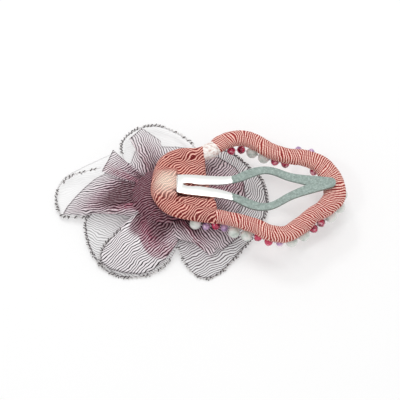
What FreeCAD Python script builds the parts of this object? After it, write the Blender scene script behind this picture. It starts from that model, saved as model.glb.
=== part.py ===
import FreeCAD, Part
import math
import os

# Flower hair clip: a snap clip whose open steel loop is wrapped in woven ribbon, with a
# spring tongue on its back, a string of beads sewn along its front and an organza flower
# sewn under its hinge end.  It lies back side up, on the rims of its petals.
#
# All lengths are in millimetres.  While the pieces are made, X runs from the hinge end
# (X = 0) to the tip, Y runs across and Z points out of the back of the clip; the flower
# hangs a little below Z = 0.  centre_on_base() then moves every piece to the final origin,
# which is the centre of the bottom of the bounding box.

# ---------------------------------------------------------------- driving dimensions
BAND_BOTTOM = 8.2           # front face of the ribbon-wrapped band
BAND_TOP = 13.0             # back face of the band, the side that lies on the head
PAD_BOTTOM = 8.8            # the cover inside the loop, at the hinge end
PAD_TOP = 11.9              # over the loop's plate
LOW_PAD_TOP = 10.3          # beyond the plate, under the tongue
LOW_PAD_START = 13.6

STEEL_BOTTOM = 10.6         # pressed steel loop inside the ribbon
STEEL_THICK = 0.8
STEEL_HALF_WIDTH = 2.1
PLATE_REACH = 13.0          # how far the loop's solid hinge end reaches from X = 0

HINGE_X = 11.0              # where the tongue comes out of the cover and starts to swing
HINGE_GAP = 0.15
TONGUE_Y = 0.6              # the tongue's centre line
TONGUE_THICK = 0.9
TONGUE_ROOT_Z = 13.0        # underside of the tongue at the hinge
TONGUE_DROP = 0.152         # slope of its straight first stretch, down into the opening
TONGUE_RISE = 0.17          # slope of its last stretch, up and over the band's tip
ROOT_START = 3.0
ROOT_HALF_WIDTH = 4.3

RIVET_X = 6.0
RIVET_SPREAD = 2.4
RIVET_SHANK_R = 0.8
RIVET_HEAD_R = 1.3
RIVET_HEAD = 0.6

CAP_TOP = 15.1              # fabric pulled over the tongue's root and the rivets
CAP_START = 1.0
CAP_END = 10.75
CAP_HALF_WIDTH = 6.6

RING_GAP = 0.3              # between the pearl and the beads round it
BEAD_R = {"pearl": 2.5, "crimson": 2.0, "lilac": 1.7}
THREAD_R = 0.3

FLOWER_X = 5.0              # centre of the flower
FLOWER_Y = 0.7
BACKING_R = 11.0
BACKING_TOP = 8.2
BACKING_THICK = 1.5
CENTRE_R = 5.0              # the core that every petal is sewn to
CENTRE_BOTTOM = 2.4
CORE_GAP = 0.05
PETAL_THICK = 0.5
SHEER_ROOT_Z = 3.2          # underside of the sheer petals, carried on to the centre
MAUVE_ROOT_Z = 4.0
SHEER_SLOPE = 7.5           # degrees that the sheer petals droop towards the surface
MAUVE_SLOPE = 5.0
SECTOR_GAP = 0.4            # room between petals that lie side by side
RIM_WIDTH = 1.3
RIM_THICK = 1.1

FAR = 100.0                 # larger than the whole clip, for cutting tools

# The loop's centre line, clockwise from the hinge end: x, y, half the band's width.
LOOP = [
    (3.6, 1.5, 3.6),
    (5.8, 12.2, 3.5),
    (11.5, 16.6, 3.4),
    (19.0, 17.0, 3.4),
    (24.0, 18.8, 3.5),
    (29.5, 23.2, 3.6),
    (36.0, 25.5, 3.6),
    (42.5, 24.0, 3.6),
    (48.8, 19.6, 3.5),
    (56.0, 16.6, 3.5),
    (64.0, 15.3, 3.8),
    (70.5, 11.8, 4.1),
    (74.4, 5.0, 4.6),
    (75.4, -3.2, 4.7),
    (71.3, -9.2, 4.0),
    (66.2, -12.7, 3.5),
    (61.5, -17.4, 3.8),
    (55.0, -21.8, 3.6),
    (48.5, -21.2, 3.5),
    (41.5, -17.5, 3.2),
    (30.0, -13.9, 2.9),
    (18.0, -11.8, 3.1),
    (9.0, -8.9, 3.4),
    (4.6, -3.8, 3.6),
]

# Free edge of the hinge cover, from the upper side to the lower side: x, y.
COVER_EDGE = [(21.7, 32.0), (22.0, 20.0), (22.8, 6.0), (24.4, 0.0), (26.9, -7.0), (28.0, -20.0)]
# Where the binding tape ends and the ribbon begins.
TAPE_EDGE = [(24.4, 32.0), (32.4, 8.0)]

# Half of the tongue's outline, and half of the slit and leaf-shaped hole inside it.
TONGUE_SIDE = [
    (11.0, 4.2), (20.0, 4.95), (30.0, 5.4), (34.0, 6.2), (38.5, 8.6), (43.0, 10.3),
    (47.0, 10.7), (51.5, 9.6), (57.0, 6.7), (63.0, 4.8), (69.0, 3.5), (73.5, 2.4),
]
TONGUE_TIP = 75.8
HOLE_SIDE = [
    (13.0, 0.0), (13.7, 0.45), (19.0, 0.55), (24.0, 0.85), (28.5, 1.3), (33.0, 2.4),
    (37.5, 3.9), (42.0, 6.0), (47.0, 7.4), (51.0, 6.3), (55.0, 3.9), (60.0, 1.6), (64.0, 0.0),
]
# Side view of the tongue's underside between its straight stretches: x, z.
TONGUE_BOW = [
    (31.0, 9.955), (36.0, 9.4), (42.0, 9.25), (49.0, 9.75), (57.0, 10.95), (64.0, 12.15),
    (70.4, 13.25),
]

# The beads in the order they are strung: kind, distance along the loop from the hinge end,
# distance outwards from its centre line, height.  Two are sewn to the band's outer side.
BEADS = [
    ("crimson", 42.0, -2.3, 5.6), ("crimson", 47.4, -2.3, 5.6), ("pearl", 53.2, -2.2, 5.6),
    ("pearl", 58.9, -1.5, 5.6), ("crimson", 63.6, -0.8, 5.6), ("crimson", 67.9, -0.6, 5.6),
    ("lilac", 72.6, 5.6, 7.6), ("lilac", 77.0, 5.6, 7.6), ("crimson", 80.9, -1.4, 5.6),
    ("lilac", 85.4, 3.4, 5.6), ("crimson", 89.0, 4.2, 5.6), ("lilac", 92.4, 4.0, 5.6),
    ("pearl", 96.4, 3.2, 5.6), ("pearl", 101.2, 2.8, 5.6), ("pearl", 106.0, 2.4, 5.6),
    ("crimson", 110.6, 2.4, 5.6), ("crimson", 115.4, 2.8, 5.6), ("pearl", 120.6, 2.0, 5.6),
    ("pearl", 125.9, 1.2, 5.6), ("lilac", 130.3, 0.9, 5.6), ("crimson", 134.5, 1.1, 5.6),
    ("crimson", 139.1, 1.1, 5.6), ("pearl", 143.8, 2.6, 5.6), ("pearl", 149.6, 2.9, 5.6),
    ("lilac", 154.0, 1.8, 5.6), ("crimson", 157.7, 1.2, 5.6), ("lilac", 161.6, 2.4, 5.6),
    ("pearl", 166.1, 1.8, 5.6),
]

# Petals: name, direction in degrees, reach of the tip, half width, sector from, sector to.
SHEER_PETALS = [
    ("right", 8.0, 43.2, 18.0, -25.0, 52.0),
    ("top", 101.0, 38.2, 17.0, 52.0, 135.0),
    ("left", 168.0, 45.0, 17.0, 135.0, 196.0),
    ("bottom_left", 240.0, 41.0, 21.0, 196.0, 281.0),
    ("bottom_right", 304.0, 42.3, 17.0, 281.0, 335.0),
]
MAUVE_PETALS = [
    ("right", 15.0, 34.0, 12.0, -22.0, 60.0),
    ("top", 106.0, 33.8, 10.0, 60.0, 119.0),
    ("top_left", 132.0, 30.7, 7.0, 119.0, 160.0),
    ("left", 191.0, 42.5, 11.0, 160.0, 227.0),
    ("bottom_left", 261.0, 35.0, 10.0, 227.0, 285.0),
    ("bottom_right", 308.0, 32.7, 10.0, 285.0, 338.0),
]


# ---------------------------------------------------------------- small helpers
def vector(x, y, z=0.0):
    return FreeCAD.Vector(x, y, z)


def spline(points, closed=False):
    """A smooth curve through the points."""
    curve = Part.BSplineCurve()
    curve.interpolate(Points=points, PeriodicFlag=closed)
    return curve


def prism(wire, bottom, top):
    """A flat outline at any height, made solid between two heights."""
    wire = wire.translated(vector(0, 0, bottom - wire.BoundBox.ZMin))
    return Part.Face(wire).extrude(vector(0, 0, top - bottom))


def polygon(points):
    corners = [vector(x, y) for x, y in points]
    return Part.makePolygon(corners + corners[:1])


def disc(radius, bottom, top, x, y):
    return Part.makeCylinder(radius, top - bottom, vector(x, y, bottom))


def rounded_block(start, end, half_width, radius, bottom, top):
    """A block along the tongue's centre line with rounded upright corners."""
    block = Part.makeBox(end - start, 2 * half_width, top - bottom,
                         vector(start, TONGUE_Y - half_width, bottom))
    upright = [edge for edge in block.Edges if abs(edge.Vertexes[0].Z - edge.Vertexes[-1].Z) > 0.01]
    return block.makeFillet(radius, upright)


# ---------------------------------------------------------------- the loop
def loop_curve():
    return spline([vector(x, y) for x, y, half in LOOP], closed=True)


def outward(curve, parameter):
    """The direction in the plane that points away from the loop's opening."""
    tangent = curve.tangent(parameter)[0]
    return vector(-tangent.y, tangent.x).normalize()


def loop_outline(offsets):
    """A closed outline at the given distances outwards from the centre line's points."""
    curve = loop_curve()
    points = []
    for (x, y, half), offset in zip(LOOP, offsets):
        place = vector(x, y)
        points.append(place + outward(curve, curve.parameter(place)) * offset)
    return Part.Wire([spline(points, closed=True).toShape()])


def loop_ring(half_widths, bottom, top):
    outer = prism(loop_outline(half_widths), bottom, top)
    return outer.cut(prism(loop_outline([-half for half in half_widths]), bottom, top))


def band_half_widths():
    return [half for x, y, half in LOOP]


def full_band():
    return loop_ring(band_half_widths(), BAND_BOTTOM, BAND_TOP)


def left_of(edge):
    """Everything on the hinge side of an edge that runs from the upper to the lower side."""
    corners = [(-FAR, edge[0][1])] + edge + [(-FAR, edge[-1][1])]
    return prism(polygon(corners), -FAR, FAR)


def hinge_side(reach):
    """Everything from the hinge end up to X = reach."""
    return Part.makeBox(reach + FAR, 2 * FAR, 2 * FAR, vector(-FAR, -FAR, -FAR))


def tape_region():
    """The upper side of the band between the cover's edge and the tape's far edge."""
    return left_of(TAPE_EDGE).cut(left_of(COVER_EDGE))


# ---------------------------------------------------------------- metal pieces
def make_clip_frame():
    widths = [STEEL_HALF_WIDTH] * len(LOOP)
    top = STEEL_BOTTOM + STEEL_THICK
    ring = loop_ring(widths, STEEL_BOTTOM, top)
    plate = prism(loop_outline(widths), STEEL_BOTTOM, top).common(hinge_side(PLATE_REACH))
    return ring.fuse(plate).removeSplitter().cut(rivet_holes())


def make_hinge_plate():
    bottom = STEEL_BOTTOM + STEEL_THICK
    plate = rounded_block(ROOT_START - 1.0, HINGE_X - 0.5, ROOT_HALF_WIDTH + 0.7, 1.5,
                          bottom, TONGUE_ROOT_Z)
    return plate.cut(rivet_holes())


def make_tongue_root():
    root = rounded_block(ROOT_START, HINGE_X - HINGE_GAP, ROOT_HALF_WIDTH, 0.8,
                         TONGUE_ROOT_Z, TONGUE_ROOT_Z + TONGUE_THICK)
    return root.cut(rivet_holes())


def rivet_places():
    return [(RIVET_X, TONGUE_Y - RIVET_SPREAD), (RIVET_X, TONGUE_Y + RIVET_SPREAD)]


def rivet_holes():
    return Part.makeCompound([disc(RIVET_SHANK_R, 0.0, FAR, x, y) for x, y in rivet_places()])


def make_hinge_rivets():
    """Two rivets through the loop's plate, the hinge plate and the tongue's root."""
    low = STEEL_BOTTOM
    high = TONGUE_ROOT_Z + TONGUE_THICK
    rivets = []
    for x, y in rivet_places():
        shank = disc(RIVET_SHANK_R, low, high, x, y)
        lower_head = disc(RIVET_HEAD_R, low - RIVET_HEAD, low, x, y)
        upper_head = disc(RIVET_HEAD_R, high, high + RIVET_HEAD, x, y)
        rivets.append(shank.fuse([lower_head, upper_head]).removeSplitter())
    return Part.makeCompound(rivets)


def tongue_outline():
    """Both long sides of the tongue, joined by its square root and its round tip."""
    upper = [vector(x, TONGUE_Y + y) for x, y in TONGUE_SIDE]
    lower = [vector(x, TONGUE_Y - y) for x, y in TONGUE_SIDE]
    tip = Part.Arc(upper[-1], vector(TONGUE_TIP, TONGUE_Y), lower[-1])
    root = Part.LineSegment(lower[0], upper[0])
    return Part.Wire([spline(upper).toShape(), tip.toShape(),
                      spline(lower[::-1]).toShape(), root.toShape()])


def tongue_hole():
    upper = [vector(x, TONGUE_Y + y) for x, y in HOLE_SIDE]
    lower = [vector(x, TONGUE_Y - y) for x, y in HOLE_SIDE]
    return Part.Wire([spline(upper).toShape(), spline(lower[::-1]).toShape()])


def tongue_bow():
    """The tongue seen from the side, as a solid as wide as the clip."""
    lift = vector(0, 0, TONGUE_THICK)
    bottom = [vector(x, -FAR, z) for x, z in TONGUE_BOW]
    start = vector(HINGE_X, -FAR, TONGUE_ROOT_Z)
    end = bottom[-1] + vector(1.0, 0, TONGUE_RISE) * (TONGUE_TIP + 1.0 - bottom[-1].x)
    curve = Part.BSplineCurve()
    curve.interpolate(Points=bottom, InitialTangent=vector(1.0, 0, -TONGUE_DROP),
                      FinalTangent=vector(1.0, 0, TONGUE_RISE))
    under = [Part.LineSegment(start, bottom[0]).toShape(), curve.toShape(),
             Part.LineSegment(bottom[-1], end).toShape()]
    over = [edge.translated(lift) for edge in under]
    sides = [Part.LineSegment(point, point + lift).toShape() for point in (start, end)]
    wire = Part.Wire(Part.__sortEdges__(under + over + sides))
    return Part.Face(wire).extrude(vector(0, 2 * FAR, 0))


def make_tongue_blade():
    flat = prism(tongue_outline(), 0.0, FAR).cut(prism(tongue_hole(), -1.0, FAR))
    return flat.common(tongue_bow())


# ---------------------------------------------------------------- woven pieces
def make_ribbon_wrap(steel):
    return full_band().cut(left_of(COVER_EDGE)).cut(tape_region()).cut(steel)


def make_binding_tape(steel):
    return full_band().common(tape_region()).cut(steel)


def make_hinge_cover(inside):
    """Ribbon over the hinge end: the rim, the pad inside the loop and the raised cap."""
    inner = loop_outline([0.0] * len(LOOP))
    low_pad = prism(inner, PAD_BOTTOM, LOW_PAD_TOP)
    high_pad = prism(inner, PAD_BOTTOM, PAD_TOP).common(hinge_side(LOW_PAD_START))
    cap = rounded_block(CAP_START, CAP_END, CAP_HALF_WIDTH, 2.5, PAD_TOP, CAP_TOP)
    cover = full_band().fuse([low_pad, high_pad]).common(left_of(COVER_EDGE)).fuse(cap)
    return cover.removeSplitter().cut(inside)


# ---------------------------------------------------------------- beads along the front
def bead_places():
    """Each bead's kind and centre, from its place along the loop."""
    curve = loop_curve()
    edge = curve.toShape()
    places = []
    for kind, distance, offset, height in BEADS:
        parameter = edge.getParameterByLength(distance)
        point = curve.value(parameter) + outward(curve, parameter) * offset
        places.append((kind, vector(point.x, point.y, height)))
    return places


def make_bead_thread(places):
    """The runs of thread that show between one bead and the next."""
    runs = []
    for (kind, centre), (next_kind, next_centre) in zip(places, places[1:]):
        way = (next_centre - centre).normalize()
        start = centre + way * BEAD_R[kind]
        end = next_centre - way * BEAD_R[next_kind]
        runs.append(Part.makeCylinder(THREAD_R, (end - start).Length, start, way))
    return Part.makeCompound(runs)


def make_beads(places, kind):
    return Part.makeCompound([Part.makeSphere(BEAD_R[kind], centre)
                              for each, centre in places if each == kind])


# ---------------------------------------------------------------- the flower
def sector(start, end):
    """The wedge of the flower between two directions, a little in from both."""
    middle = math.radians((start + end) / 2)
    half = math.radians((end - start) / 2)
    inset = SECTOR_GAP / 2 / math.sin(half)
    apex_x = FLOWER_X + inset * math.cos(middle)
    apex_y = FLOWER_Y + inset * math.sin(middle)
    corners = [(apex_x, apex_y)]
    for angle in (middle - half, middle, middle + half):
        corners.append((apex_x + FAR * math.cos(angle), apex_y + FAR * math.sin(angle)))
    return prism(polygon(corners), -FAR, FAR)


def petal_plate(reach, half_width, inset, bottom, thick):
    """An oval plate along +X from the flower's centre, drawn in by inset."""
    centre = vector(reach / 2, 0)
    ends = [centre + vector(reach / 2 - inset, 0), centre + vector(0, half_width - inset)]
    far_end, near_end = sorted(ends, key=centre.distanceToPoint, reverse=True)
    oval = Part.Ellipse(far_end, near_end, centre)
    return prism(Part.Wire([oval.toShape()]), bottom, bottom + thick)


def place_petal(plate, direction, slope, root_z, start, end):
    """Droop a plate about its root, turn it, and keep what lies in its own sector."""
    plate = plate.copy()
    plate.rotate(vector(0, 0, 0), vector(0, 1, 0), slope)
    plate.translate(vector(FLOWER_X, FLOWER_Y, root_z))
    plate.rotate(vector(FLOWER_X, FLOWER_Y), vector(0, 0, 1), direction)
    hole = disc(CENTRE_R + CORE_GAP, -FAR, FAR, FLOWER_X, FLOWER_Y)
    return plate.common(sector(start, end)).cut(hole)


def make_sheer_petal(direction, reach, half_width, start, end):
    plate = petal_plate(reach, half_width, RIM_WIDTH, 0.0, PETAL_THICK)
    return place_petal(plate, direction, SHEER_SLOPE, SHEER_ROOT_Z, start, end)


def make_petal_edging(direction, reach, half_width, start, end):
    """The thick overlocked thread edge round a sheer petal."""
    bottom = (PETAL_THICK - RIM_THICK) / 2
    outer = petal_plate(reach, half_width, 0.0, bottom, RIM_THICK)
    rim = outer.cut(petal_plate(reach, half_width, RIM_WIDTH, bottom, RIM_THICK))
    whole = place_petal(rim, direction, SHEER_SLOPE, SHEER_ROOT_Z, start, end)
    return max(whole.Solids, key=lambda solid: solid.Volume)


def make_mauve_petal(direction, reach, half_width, start, end):
    plate = petal_plate(reach, half_width, 0.0, 0.0, PETAL_THICK)
    return place_petal(plate, direction, MAUVE_SLOPE, MAUVE_ROOT_Z, start, end)


def make_flower_backing():
    return disc(BACKING_R, BACKING_TOP - BACKING_THICK, BACKING_TOP, FLOWER_X, FLOWER_Y)


def make_flower_centre():
    return disc(CENTRE_R, CENTRE_BOTTOM, BACKING_TOP - BACKING_THICK, FLOWER_X, FLOWER_Y)


def make_centre_pearl():
    radius = BEAD_R["pearl"]
    return Part.makeSphere(radius, vector(FLOWER_X, FLOWER_Y, CENTRE_BOTTOM - radius))


def make_centre_crimson_beads():
    """A ring of crimson beads round the pearl at the flower's centre."""
    count = 6
    radius = BEAD_R["crimson"]
    ring = BEAD_R["pearl"] + radius + RING_GAP
    beads = []
    for index in range(count):
        angle = 2 * math.pi * index / count
        x = FLOWER_X + ring * math.cos(angle)
        y = FLOWER_Y + ring * math.sin(angle)
        beads.append(Part.makeSphere(radius, vector(x, y, CENTRE_BOTTOM - radius)))
    return Part.makeCompound(beads)


# ---------------------------------------------------------------- assembly
def make_metal():
    return {
        "clip_frame": make_clip_frame(),
        "hinge_plate": make_hinge_plate(),
        "tongue_root": make_tongue_root(),
        "hinge_rivets": make_hinge_rivets(),
        "tongue_blade": make_tongue_blade(),
    }


def make_woven(metal):
    names = ("clip_frame", "hinge_plate", "tongue_root", "hinge_rivets")
    inside = [metal[name] for name in names]
    return {
        "ribbon_wrap": make_ribbon_wrap(metal["clip_frame"]),
        "binding_tape": make_binding_tape(metal["clip_frame"]),
        "hinge_cover": make_hinge_cover(inside),
    }


def make_bead_string():
    places = bead_places()
    string = {"bead_thread": make_bead_thread(places)}
    for kind in BEAD_R:
        string[kind + "_beads"] = make_beads(places, kind)
    return string


def make_flower():
    flower = {
        "flower_backing": make_flower_backing(),
        "flower_centre": make_flower_centre(),
        "centre_pearl": make_centre_pearl(),
        "centre_crimson_beads": make_centre_crimson_beads(),
    }
    for name, *shape in SHEER_PETALS:
        flower["sheer_petal_" + name] = make_sheer_petal(*shape)
        flower["petal_edging_" + name] = make_petal_edging(*shape)
    for name, *shape in MAUVE_PETALS:
        flower["mauve_petal_" + name] = make_mauve_petal(*shape)
    return flower


def centre_on_base(pieces):
    """Move every piece so that the origin is the centre of the bounding box's bottom."""
    box = Part.makeCompound(list(pieces.values())).optimalBoundingBox(False)
    shift = vector(-(box.XMin + box.XMax) / 2, -(box.YMin + box.YMax) / 2, -box.ZMin)
    print("shift x %.4f y %.4f z %.4f" % tuple(shift))
    print("size %.2f x %.2f x %.2f" % (box.XLength, box.YLength, box.ZLength))
    return {name: shape.translated(shift) for name, shape in pieces.items()}


def main():
    os.makedirs("parts", exist_ok=True)
    metal = make_metal()
    pieces = {**metal, **make_woven(metal), **make_bead_string(), **make_flower()}
    for name, shape in centre_on_base(pieces).items():
        print("%-28s solids %2d volume %9.2f valid %s"
              % (name, len(shape.Solids), shape.Volume, shape.isValid()))
        shape.exportStep("parts/%s.step" % name)


main()
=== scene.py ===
import math
import random

import bmesh
import bpy
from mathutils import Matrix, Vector, noise
from mathutils.bvhtree import BVHTree


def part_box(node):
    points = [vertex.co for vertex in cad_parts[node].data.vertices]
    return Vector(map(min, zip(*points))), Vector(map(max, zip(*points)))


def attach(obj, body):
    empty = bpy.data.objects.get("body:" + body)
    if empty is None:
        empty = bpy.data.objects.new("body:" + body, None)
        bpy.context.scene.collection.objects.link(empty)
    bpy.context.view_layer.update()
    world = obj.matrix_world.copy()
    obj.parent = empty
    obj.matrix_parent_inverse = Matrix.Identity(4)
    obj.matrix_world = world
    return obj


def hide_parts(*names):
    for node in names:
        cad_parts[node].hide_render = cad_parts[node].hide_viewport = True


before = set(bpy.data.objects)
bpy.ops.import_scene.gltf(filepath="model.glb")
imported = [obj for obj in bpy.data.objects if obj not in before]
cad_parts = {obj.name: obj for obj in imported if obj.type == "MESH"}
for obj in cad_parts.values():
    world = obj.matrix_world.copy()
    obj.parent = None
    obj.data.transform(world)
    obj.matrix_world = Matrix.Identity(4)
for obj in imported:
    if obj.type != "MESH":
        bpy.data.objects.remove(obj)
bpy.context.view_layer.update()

# Flower hair clip, lying back side up.  Design lengths are in millimetres, in the clip's own
# measure: X from the hinge end to the tip, Y across, Z out of the back, with Z = 0 a little
# above the surface.  at() turns a design place into metres in the frame.
MM = 0.001

# -------- places taken from the frame
FLOWER = Vector((5.0, 0.7))  # centre of the flower in design measure
BACKING_TOP = 8.2  # design height of the felt backing's upper face
_low, _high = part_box("flower_backing")
ORIGIN = Vector((
    (_low.x + _high.x) / 2 - FLOWER.x * MM,
    (_low.y + _high.y) / 2 - FLOWER.y * MM,
    _high.z - BACKING_TOP * MM,
))
FLOOR_Z = -ORIGIN.z / MM  # design height of the surface the clip lies on
FLOOR_GLOW = 0.36  # the floor gives off a little light, like a light table


def at(x, y, z):
    return ORIGIN + Vector((x, y, z)) * MM


# -------- driving dimensions
BAND_MIDDLE = 10.6  # design height of the middle of the ribbon band
BAND_HALF_THICK = 2.4
WRAP_PITCH = 8.6  # ribbon laid on per turn round the band
WRAP_STEP = 0.22  # how far each turn stands over the one before
MOIRE_PITCH = 0.96  # wave length of the petals' moire
RIB_PITCH = {"band": 0.92, "cover": 1.04}  # wave length of the moire ribs
TAPE_END = 27.0  # how far along the clip the binding tape reaches
TUCKED = 1.6  # how far the tape reaches in under the cover
WRAP_TUCKED = 1.2  # how far the ribbon reaches in under the tape
LOWER_TUCKED = 2.4  # how far the ribbon's other end reaches in under the cover
NEAR_RUN = 70  # length of the loop's run from the hinge end past the tape
TONGUE_Y = 0.6
COVER_MIDDLE = (12.5, 2.5)
COVER_ROUNDING = 1.6  # how far in from its outer edge the cover's skin is rounded off
CAP_END = 10.7  # where the raised cap ends and the tongue comes out
ARM_MIDDLE = 3.4  # from the tongue's middle line to the middle of an arm
TONGUE_CLEARANCE = 0.3  # between the cover's cloth and the closed tongue
PAD_TOP = 11.9  # the cover over the hinge plate
LOW_PAD_TOP = 10.3  # the cover beyond the hinge plate
CAP_TOP = 15.0
CAP_HIGHLIGHT_PLACE = (6.8, 0.8, 15.0)  # middle of the painted highlight on the cap
# Ends of the painted shadow on the cover along the tongue's lower side.
TONGUE_SHADOW_START = (8.2, -3.3, 0)
TONGUE_SHADOW_END = (25.0, -4.6, 0)
DULL_ARMS_START = 33.2  # where the painted matte grey-green shade on the tongue begins

# The loop's centre line, clockwise from the hinge end: x, y, half the band's width.
LOOP = [
    (3.6, 1.5, 3.6), (5.8, 12.2, 3.5), (11.5, 16.6, 3.4), (19.0, 17.0, 3.4),
    (24.0, 18.8, 3.5), (29.5, 23.2, 3.6), (36.0, 25.5, 3.6), (42.5, 24.0, 3.6),
    (48.8, 19.6, 3.5), (56.0, 16.6, 3.5), (64.0, 15.3, 3.8), (70.5, 11.8, 4.1),
    (74.4, 5.0, 4.6), (75.4, -3.2, 4.7), (71.3, -9.2, 4.0), (66.2, -12.7, 3.5),
    (61.5, -17.4, 3.8), (55.0, -21.8, 3.6), (48.5, -21.2, 3.5), (41.5, -17.5, 3.2),
    (30.0, -13.9, 2.9), (18.0, -11.8, 3.1), (9.0, -8.9, 3.4), (4.6, -3.8, 3.6),
]
# Free edge of the hinge cover, upper side to lower side: x, y.
COVER_EDGE = [(21.7, 32.0), (22.0, 20.0), (22.8, 6.0), (24.4, 0.0), (26.9, -7.0), (28.0, -20.0)]

# Rims of the petals in plan with their heights: x, y, z, anticlockwise from their right end.
SHEER_RIMS = {
    "right": [
        (30.0, -13.0, 1.0), (40.0, -12.0, -0.6), (46.2, -7.5, -1.0), (48.1, -2.0, -0.9),
        (48.1, 4.0, -0.4), (46.2, 11.6, 0.3), (42.0, 16.2, 0.6), (38.0, 20.6, 1.0), (31.0, 25.5, 1.4),
        (21.0, 25.0, 2.2)],
    "top": [
        (19.0, 22.0, 2.6), (17.6, 27.6, 1.6), (13.6, 32.8, 0.9), (8.6, 36.8, 0.3), (1.8, 39.4, 0.2),
        (-4.6, 38.4, 0.1), (-9.4, 35.4, 0.4), (-12.8, 31.0, 0.8), (-13.3, 26.0, 1.2), (-11.6, 19.4, 2.4)],
    "left": [
        (-15.4, 24.0, 2.4), (-21.0, 21.8, 1.6), (-27.5, 18.6, 0.9), (-35.9, 13.6, -0.4),
        (-39.4, 8.6, -1.0), (-40.3, 3.0, -1.6), (-39.0, -1.6, -1.8), (-37.3, -5.6, -1.6),
        (-29.7, -6.6, -0.8), (-24.0, -8.0, 0.6)],
    "bottom_left": [
        (-22.6, -3.0, 1.4), (-27.2, -8.6, -0.8), (-26.4, -16.6, -1.6), (-23.6, -24.4, -2.0),
        (-18.6, -31.2, -2.0), (-11.4, -34.4, -2.0), (-4.0, -34.4, -2.0), (2.6, -32.0, -1.9),
        (8.2, -26.6, -1.2), (11.4, -20.6, 0.8)],
    "bottom_right": [
        (10.6, -20.6, 0.6), (13.0, -26.2, -1.2), (16.6, -32.0, -2.0), (21.6, -35.0, -2.0),
        (26.4, -34.0, -2.0), (31.6, -29.4, -1.8), (36.6, -23.4, -1.6), (40.4, -18.2, -1.2),
        (42.2, -12.6, -0.6), (40.0, -8.6, 0.2)],
}
MAUVE_RIMS = {
    "right": [
        (28.0, -11.0, 2.2), (36.3, -5.0, 1.2), (39.4, 2.6, 1.0), (38.6, 9.6, 1.2), (35.4, 16.4, 1.6),
        (28.0, 21.6, 2.4), (22.0, 22.5, 3.0)],
    "top": [
        (18.4, 25.2, 3.2), (10.0, 26.6, 3.0), (4.0, 26.8, 2.8), (3.4, 29.8, 2.4), (-4.7, 36.8, 1.8),
        (-9.9, 31.2, 2.4), (-7.1, 25.2, 2.8), (-9.2, 16.6, 4.0)],
    "top_left": [
        (-9.0, 16.8, 4.6), (-11.6, 17.6, 4.0), (-16.6, 25.0, 3.0), (-21.0, 13.6, 3.2),
        (-16.0, 10.0, 4.4)],
    "left": [
        (-9.6, 15.4, 4.2), (-19.4, 12.9, 3.0), (-24.0, 10.6, 2.3), (-28.2, 7.0, 1.4), (-32.0, 2.6, 0.6),
        (-35.2, -2.0, 0.0), (-36.9, -5.7, -0.5), (-32.7, -6.1, -0.1), (-26.9, -6.9, 0.8),
        (-23.9, -6.2, 1.4), (-18.5, -6.8, 2.2), (-12.8, -7.6, 3.2), (-8.0, -9.6, 4.0)],
    "bottom_left": [
        (-9.6, -11.0, 3.6), (-13.4, -14.4, 2.6), (-18.6, -20.4, 0.8), (-20.6, -25.0, -0.4),
        (-20.2, -28.6, -1.0), (-16.6, -31.6, -1.4), (-10.9, -33.2, -1.4), (-4.2, -33.6, -1.4),
        (0.4, -32.0, -1.2), (5.2, -28.2, -0.6), (9.4, -22.8, 0.6), (12.4, -17.4, 2.0)],
    "bottom_right": [
        (10.6, -19.0, 2.0), (14.0, -19.6, 1.4), (18.2, -20.4, 0.6), (24.8, -26.0, -0.6),
        (31.0, -21.6, -0.2), (36.6, -17.0, 0.0), (33.0, -11.0, 1.2)],
}
# Where the overlocked edge lies when it isn't simply a petal's rim.
TURNED_EDGE_LEFT = [
    (-26.0, -7.0, 0.2), (-31.6, -6.6, -0.8), (-37.2, -5.4, -1.5), (-39.2, -1.2, -1.7),
    (-40.1, 3.2, -1.5), (-39.2, 8.0, -0.9), (-36.6, 11.6, -0.4), (-33.0, 14.0, 0.2), (-28.2, 15.2, 0.9),
    (-21.6, 16.6, 1.6),
]
FOLDED_EDGE = [
    (-11.0, -13.2, 3.2), (-15.0, -16.8, 2.2), (-18.8, -20.8, 1.1), (-20.8, -25.2, -0.1),
    (-20.3, -28.8, -0.7), (-16.8, -31.6, -1.1),
]
PETAL_ROOT_R = 4.2  # how far from the flower's centre the gathers start
SHEER_ROOT_Z = 3.9
MAUVE_ROOT_Z = 6.4
PETAL_GATHERS = {"sheer": 7, "mauve": 5}
STITCH_PITCH = 1.55  # between one stitch of the overlocked edges and the next
STITCH_REACH = 0.55  # how far a stitch loops out from the edge
STITCH_STEPS = 9  # points round one stitch
SKIPPED_STITCHES = 0.24  # share of the stitches sunk out of sight in the cloth


# -------- curves in plan
def straight(points, count):
    """Points evenly spread along straight runs between the given ones."""
    return spread([Vector(p) for p in points], count, False)


def smooth(points, count, closed=False):
    """Points evenly spread along a smooth curve through the given ones."""
    size = len(points)
    spans = size if closed else size - 1
    fine = []
    for span in range(spans):
        around = range(span - 1, span + 3)
        picks = [k % size if closed else min(max(k, 0), size - 1) for k in around]
        a, b, c, d = (Vector(points[k]) for k in picks)
        handle_b, handle_c = b + (c - a) / 6, c - (d - b) / 6
        steps = [catmull(b, handle_b, handle_c, c, k / 24) for k in range(24)]
        fine.extend(steps)
    fine.append(fine[0].copy() if closed else Vector(points[-1]))
    return spread(fine, count, closed)


def spread(fine, count, closed):
    """Even points along a fine line, and its length."""
    lengths = [0.0]
    for here, there in zip(fine, fine[1:]):
        lengths.append(lengths[-1] + (there - here).length)
    total = lengths[-1]
    made, index = [], 0
    steps = count if closed else count - 1
    for k in range(count):
        want = total * k / steps
        while index < len(lengths) - 2 and lengths[index + 1] < want:
            index += 1
        span = max(lengths[index + 1] - lengths[index], 1e-9)
        made.append(fine[index].lerp(fine[index + 1], (want - lengths[index]) / span))
    return made, total


def catmull(a, b, c, d, t):
    """A point on the cubic with these four control points."""
    s = 1 - t
    return a * s ** 3 + b * 3 * s * s * t + c * 3 * s * t * t + d * t ** 3


def step_up(low, high, value):
    t = min(max((value - low) / (high - low), 0.0), 1.0)
    return t * t * (3 - 2 * t)


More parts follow.
